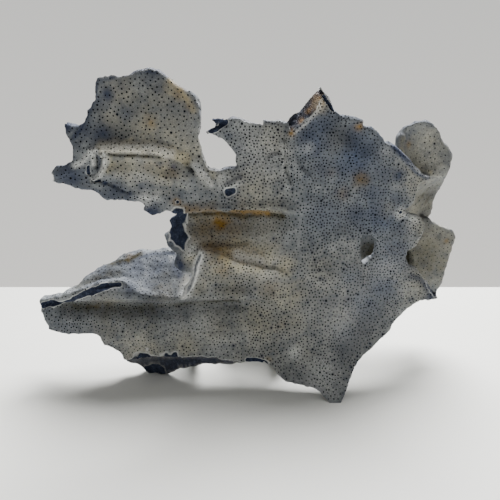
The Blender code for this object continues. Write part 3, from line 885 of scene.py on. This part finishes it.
def pathLengths(path):
    return [math.hypot(b[0] - a[0], b[1] - a[1]) for a, b in zip(path, path[1:])]


def alongPath(path, share):
    lengths = pathLengths(path)
    left = share * sum(lengths)
    for index, length in enumerate(lengths):
        if left <= length or index == len(lengths) - 1:
            t = min(left / length, 1.0)
            return [a + (b - a) * t for a, b in zip(path[index], path[index + 1])]
        left -= length


def addCutter(name, sheet, way, material, holder):        # the sheet swept along way
    grown = bmesh.ops.extrude_face_region(sheet, geom=sheet.faces[:])["geom"]
    moved = [item for item in grown if isinstance(item, bmesh.types.BMVert)]
    bmesh.ops.translate(sheet, verts=moved, vec=way)
    bmesh.ops.recalc_face_normals(sheet, faces=sheet.faces[:])
    cutter = bpy.data.objects.new(name, finishedMesh(name, sheet, material))
    cutter.hide_render = True
    holder.objects.link(cutter)


def breakCutter(node, broken, core, holder):
    own = {**breakShape, **broken}
    path, front, deep = own["path"], own["front"], own["deep"]
    across = front + deep + own["back"]
    reach = own["reach"] + max(point[2] for point in path)
    outward = Vector((own["way"][0], 0.0, own["way"][1])).normalized()
    columns = max(int(sum(pathLengths(path)) / own["pitch"]), 4)
    sheet = bmesh.new()
    bmesh.ops.create_grid(sheet, x_segments=columns, y_segments=int(across / own["pitch"]), size=0.5)
    fronts = {}
    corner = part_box(node)[0]
    for vert in sheet.verts:
        share = round(vert.co.x + 0.5, 5)
        if share not in fronts:
            right, up, span = alongPath(path, share)
            edge = Vector((corner.x + right * mm, spot(node, right, up).y, corner.z + up * mm))
            fronts[share] = (edge, span)
        start, span = fronts[share]
        t = ((vert.co.y + 0.5) * across - front) / deep
        place = start + Vector((0.0, t * deep * mm, 0.0)) + outward * max(t, 0.0) * span * mm
        bite = noise.noise(place / (own["roughSize"] * mm)) * own["rough"]
        bite += noise.noise(place / (own["notchSize"] * mm)) * own["notch"]
        vert.co = place + outward * bite * mm
    addCutter("breakCutter", sheet, outward * reach * mm, core, holder)


def windowCutter(node, window, skin, holder):
    own = {**windowShape, **window}
    pane = bmesh.new()
    bmesh.ops.create_circle(pane, segments=own["corners"], radius=1.0, cap_ends=True)
    start = spot(node, *own["centre"])
    turn = math.radians(own["turn"])
    for vert in pane.verts:
        narrow = 1.0 + own["taper"] * vert.co.y        # narrower towards the bottom
        right = vert.co.x * own["size"][0] * narrow
        up = vert.co.y * own["size"][1]
        place = Vector((right * math.cos(turn) - up * math.sin(turn), 0.0,
                        right * math.sin(turn) + up * math.cos(turn))) * mm
        rough = 1.0 + own["rough"] * noise.noise((place + start) / (own["roughSize"] * mm))
        vert.co = start + place * rough - Vector((0.0, own["front"], 0.0)) * mm
    addCutter("windowCutter", pane, Vector((0.0, own["front"] + own["deep"], 0.0)) * mm, skin, holder)


def booleanWith(thing, operation, cutter=None, cutters=None):
    cut = thing.modifiers.new("cut", "BOOLEAN")
    cut.operation = operation
    cut.solver = "MANIFOLD"
    cut.material_mode = "TRANSFER"
    if cutters is not None:
        cut.operand_type = "COLLECTION"
        cut.collection = cutters
    else:
        cut.object = cutter
    mesh = appliedMesh(thing)
    thing.modifiers.clear()
    return mesh


def breakEdges(colony, skin, core):
    holder = bpy.data.collections.new("breakCutters")
    bpy.context.scene.collection.children.link(holder)
    for part in parts:
        for broken in part.get("breaks", []):
            breakCutter(part["node"], broken, core, holder)
        for window in part.get("windows", []):
            windowCutter(part["node"], window, skin, holder)
    colony.data = booleanWith(colony, "DIFFERENCE", cutters=holder)
    for cutter in list(holder.objects):
        bpy.data.objects.remove(cutter)
    bpy.data.collections.remove(holder)


def dropCrumbs(colony):
    shape = shapeOf(colony.data)
    left = set(shape.verts)
    groups = []
    while left:
        group = {left.pop()}
        edge = list(group)
        while edge:
            found = {link.other_vert(vert) for vert in edge for link in vert.link_edges} & left
            left -= found
            group |= found
            edge = list(found)
        groups.append(group)
    groups.sort(key=len)
    crumbs = [vert for group in groups[:-1] for vert in group]
    bmesh.ops.delete(shape, geom=crumbs, context="VERTS")
    shape.to_mesh(colony.data)
    shape.free()
    print("pieces after the breaks", [len(group) for group in groups])


# Pores

poreShape = dict(lip=0.06, depth=1.05, taper=0.06, mouth=0.3, clear=0.85, joint=0.45, jitter=0.20,
                 rearFacing=0.2, backGap=1.95, lowReach=75.0, footClear=1.5, bare=0.08, gapChange=0.34,
                 gapSize=5.0, gapChance=(-0.08, 0.14), radiusChange=0.22, ownerReach=20.0, inky=0.035,
                 inkyRadius=1.4, inkyReach=0.95, inkyHalo=0.65)
inkyPores = []


def isSkin(vert):
    return all(face.material_index == 0 for face in vert.link_faces)


def treeOf(places, numbers=None):
    tree = KDTree(max(len(places), 1))
    if not places:
        tree.insert(Vector((farAway, farAway, farAway)), 0)
    for place, number in zip(places, numbers or range(len(places))):
        tree.insert(place, number)
    tree.balance()
    return tree


def gapsTo(places, tree):
    return np.array([tree.find(Vector(place))[2] for place in places])


def nearestPart(places):
    owners = np.zeros(len(places), int)
    nearest = np.full(len(places), farAway)
    for index, part in enumerate(parts):
        tree = nodeTree(part["node"])
        reach = poreShape["ownerReach"] * mm
        gaps = np.array([tree.find_nearest(Vector(place), reach)[3] or farAway for place in places])
        closer = gaps < nearest
        owners[closer] = index
        nearest[closer] = gaps[closer]
    return owners


def cellDepth(place, cells):        # how deep inside its cell a point is
    for cell in cells:
        depth = min(min(at - low, high - at) for at, low, high in zip(place, *cell[-2:]))
        if depth >= 0.0:
            return depth
    return 0.0


def choosePores(colony, cells):
    shape = shapeOf(colony.data)
    shape.verts.ensure_lookup_table()
    broken = treeOf([vert.co for vert in shape.verts if not isSkin(vert)])
    places = np.array([vert.co for vert in shape.verts])
    bare = painted(places, np.ones(len(places)), "core")
    order = [vert.index for vert in shape.verts
             if isSkin(vert) and len(vert.link_edges) == 4 and bare[vert.index] < poreShape["bare"]
             and vert.co.z > poreShape["footClear"] * mm
             and broken.find(vert.co)[2] > poreShape["clear"] * mm
             and cellDepth(vert.co, cells) > poreShape["joint"] * mm]
    random.shuffle(order)
    starts = [shape.verts[index].co.copy() for index in order]
    tree = treeOf(starts, order)
    free = set(order)
    seeds = []
    for owner, index in zip(nearestPart(starts), order):
        if index not in free:
            continue
        vert = shape.verts[index]
        part = parts[owner]
        gap = part["poreGap"]
        if vert.normal.y > poreShape["rearFacing"]:
            gap = max(gap, poreShape["backGap"])
        gap *= 1.0 + part.get("lowGap", 0.0) * max(1.0 - vert.co.z / (poreShape["lowReach"] * mm), 0.0)
        uneven = poreShape["gapChange"] * noise.noise(vert.co / (poreShape["gapSize"] * mm))
        gap *= 1.0 + uneven + random.uniform(*poreShape["gapChance"])
        for found in tree.find_range(vert.co, gap * mm):
            free.discard(found[1])
        turn = random.uniform(0.0, math.tau)
        reach = random.uniform(0.0, poreShape["jitter"]) * mm
        sideways = vert.normal.orthogonal().normalized()
        offset = sideways * math.cos(turn) + vert.normal.cross(sideways) * math.sin(turn)
        vert.co += offset * reach
        radius = part["poreRadius"]
        if random.random() < part.get("inky", poreShape["inky"]):        # a wide mouth in a blue stain
            radius *= poreShape["inkyRadius"]
            inkyPores.append(vert.co.copy())
        seeds.append((vert.co.copy(), radius))
    shape.to_mesh(colony.data)
    shape.free()
    return seeds


def drillPores(shape, seeds, poreSlot):
    shape.verts.ensure_lookup_table()
    tree = treeOf([vert.co for vert in shape.verts])
    chosen = {}
    for place, radius in seeds:
        index, gap = tree.find(place)[1:]
        if gap < samePoint and isSkin(shape.verts[index]):
            chosen[shape.verts[index]] = radius
    radii = treeOf([vert.co for vert in chosen])
    sizes = list(chosen.values())
    mouths = bmesh.ops.bevel(shape, geom=list(chosen), affect="VERTICES", offset=poreShape["mouth"] * mm,
                             offset_type="OFFSET", segments=1, profile=0.5, material=-1)["faces"]
    rims = list({edge for face in mouths for edge in face.edges})
    bmesh.ops.subdivide_edges(shape, edges=rims, cuts=1)
    shape.normal_update()
    change = poreShape["radiusChange"]
    for face in mouths:
        centre = face.calc_center_median()
        normal = face.normal.copy()
        radius = sizes[radii.find(centre)[1]] * random.uniform(1.0 - change, 1.0 + change) * mm
        for vert in face.verts:
            flat = vert.co - centre
            flat -= normal * flat.dot(normal)
            vert.co = centre + flat.normalized() * radius + normal * poreShape["lip"] * mm
    walls = bmesh.ops.inset_individual(shape, faces=mouths, thickness=poreShape["taper"] * mm,
                                       depth=-poreShape["depth"] * mm)["faces"]
    for face in mouths + walls:
        face.material_index = poreSlot
    return len(mouths)


# Cutting the skin at the main forks. Each cut lies this far, in mm, from the edge of a node's box.

forkCuts = dict(behindRearBlade=1.3, aboveWingFoot=1.0, insideWing=0.5, insideEar=0.5, belowRearBlade=0.3,
                insideFlange=0.5, besidePocket=0.2)


def forkCells():
    def low(node):
        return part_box(node)[0]

    def high(node):
        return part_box(node)[1]

    cut = {name: gap * mm for name, gap in forkCuts.items()}
    far = 0.5
    behind = high("rear_blade").y + cut["behindRearBlade"]
    lobes = low("wing_lobe").z + cut["aboveWingFoot"]
    fanRight = high("fan_frond").x
    wingRight = high("wing_lobe").x - cut["insideWing"]
    peakRight = low("ear_lobe").x + cut["insideEar"]
    bladeTop = low("rear_blade").z - cut["belowRearBlade"]
    bladeRight = high("lower_blade").x
    pocketLeft = low("ridge_flange").x + cut["insideFlange"]
    pocketRight = high("pocket_frond").x + cut["besidePocket"]
    return [
        ("coral_fan", ["fan_frond"], "coral_cream", (-far, -far, lobes), (fanRight, far, far)),
        ("coral_wing", ["wing_lobe"], "coral_skin", (fanRight, -far, lobes), (wingRight, far, far)),
        ("coral_peak", ["peak_lobe"], "coral_skin", (wingRight, -far, lobes), (peakRight, far, far)),
        ("coral_ear", ["ear_lobe"], "coral_cream", (peakRight, -far, lobes), (far, far, far)),
        ("coral_side", ["side_frond", "rear_prop"], "coral_cream", (-far, behind, -far), (far, far, lobes)),
        ("coral_blade", ["lower_blade"], "coral_skin", (-far, -far, -far), (bladeRight, behind, bladeTop)),
        ("coral_rear_blade", ["rear_blade"], "coral_skin", (-far, -far, bladeTop),
         (pocketLeft, behind, lobes)),
        ("coral_pocket", ["pocket_frond", "ridge_flange"], "coral_cream", (pocketLeft, -far, bladeTop),
         (pocketRight, behind, lobes)),
        ("coral_trunk", ["trunk_frond", "cross_fin"], "coral_skin", (bladeRight, -far, -far),
         (far, behind, bladeTop)),
        ("coral_shoulder", ["trunk_frond"], "coral_skin", (pocketRight, -far, bladeTop),
         (far, behind, lobes)),
    ]


def cellBox(low, high, material):
    box = boxShape(Vector(high) - Vector(low), (Vector(low) + Vector(high)) / 2)
    return placeObject("cell", finishedMesh("cell", box, material))


# Paint carried by the vertices. A fade is (start, slope, least).

paintShape = dict(rim=0.4, rimStart=1.4, rimStrength=0.5, rimUpShade=(1.2, 1.4, 0.1), rimRear=(1.0, 0.9, 0.2),
                  rimWander=(0.9, -1.8, 0.2), coreRear=(1.3, 1.5, 0.05), wander=0.35, wanderSize=3.2,
                  flatten=(1.0, 0.35, 1.0), topInkAndShade=0.6, topFrom=95.0, topFade=10.0, upFacing=0.4, upFade=0.4,
                  kinds=("blue", "cream", "ink", "paintedShade", "rust", "chalk", "core"))


def fade(values, start, slope, least):
    return np.clip(start - slope * values, least, 1.0)


def painted(places, wander, kind):
    amount = np.zeros(len(places))
    for part in parts:
        for right, up, radius, strength in part["spots"].get(kind, []):
            centre = np.array(spot(part["node"], right, up))
            gap = np.linalg.norm((places - centre) * paintShape["flatten"], axis=1) * wander / (radius * mm)
            amount = np.maximum(amount, strength * np.exp(-gap ** 2))
        for streakKind, path, radius, strength in part["streaks"]:
            if streakKind == kind:
                flat = [place * Vector(paintShape["flatten"]) for place in spots(part["node"], path)]
                gap = distanceTo(places * paintShape["flatten"], flat, 1.0) * wander / (radius * mm)
                sharpness = 4 if kind == "core" else 2
                amount = np.maximum(amount, strength * np.exp(-gap ** sharpness))
    return amount


def paintStains(mesh, rimTree, inkTree):
    places, normals = meshArrays(mesh)
    facingRear, facingUp = normals[:, 1], normals[:, 2]
    wander = unevenness(places, paintShape["wanderSize"]) * paintShape["wander"] + 1.0
    for kind in paintShape["kinds"]:
        amount = painted(places, wander, kind)
        if kind == "core":
            amount *= fade(facingRear, *paintShape["coreRear"])        # the rear side keeps its skin
        if kind == "ink":
            reach = gapsTo(places, inkTree) / (poreShape["inkyReach"] * mm)
            amount = np.maximum(amount, np.exp(-reach ** 2) * poreShape["inkyHalo"])
            top = fadeIn(places[:, 2], paintShape["topFrom"] * mm, paintShape["topFade"] * mm)
            worn = fadeIn(facingUp, paintShape["upFacing"], paintShape["upFade"]) * top
            amount = np.maximum(amount, worn * paintShape["topInkAndShade"])        # dark blue worn top edges, also painted shade on high faces that look up
        if kind == "chalk":
            rim = fade(gapsTo(places, rimTree) / (paintShape["rim"] * mm), paintShape["rimStart"], 1.0, 0.0)
            rim *= paintShape["rimStrength"]
            rim *= fade(facingUp, *paintShape["rimUpShade"])        # painted shade: fainter on edges that face up, against the light from above
            rim *= fade(facingRear, *paintShape["rimRear"])        # and on the rear side
            amount = np.maximum(amount, rim * fade(wander - 1.0, *paintShape["rimWander"]))
        layer = mesh.attributes.new(kind, "FLOAT", "POINT")
        layer.data.foreach_set("value", amount.astype(np.float32))


def rimPlaces(colony):        # where the skin meets a break
    shape = shapeOf(colony.data)
    rims = [vert.co.copy() for vert in shape.verts
            if len({face.material_index for face in vert.link_faces}) > 1]
    shape.free()
    return rims


def buildColony():
    skin = skinMaterial()
    core = coreMaterial("blueCore")
    joint = coreMaterial("forkJoint")
    pore = poreMaterial()
    colony = fusedSkin()
    print("fused skin", len(colony.data.polygons))
    carveRelief(colony)
    colony.data.materials.append(skin)
    breakEdges(colony, skin, core)
    dropCrumbs(colony)
    print("relief and breaks", len(colony.data.polygons), [m.name for m in colony.data.materials])
    rimTree = treeOf(rimPlaces(colony))
    cells = forkCells()
    seeds = choosePores(colony, cells)
    inkTree = treeOf(inkyPores)
    print("pores", len(seeds), "inky", len(inkyPores))
    for name, nodes, slot, low, high in cells:
        cell = cellBox(low, high, joint)
        mesh = booleanWith(colony, "INTERSECT", cutter=cell)
        bpy.data.objects.remove(cell)
        mesh.materials.append(pore)
        shape = shapeOf(mesh)
        count = drillPores(shape, seeds, len(mesh.materials) - 1)
        shape.to_mesh(mesh)
        shape.free()
        mesh.name = name
        paintStains(mesh, rimTree, inkTree)
        mesh.shade_smooth()
        mesh.set_sharp_from_angle(angle=math.radians(skinShape["sharpAngle"]))
        piece = placeObject(name, mesh)
        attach(piece, "root")
        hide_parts(*nodes)
        triangles = sum(len(face.vertices) - 2 for face in mesh.polygons)
        print(name, count, "pores", triangles, "triangles")
    bpy.data.objects.remove(colony)


addCamera()
addTable()
addLight()
buildColony()
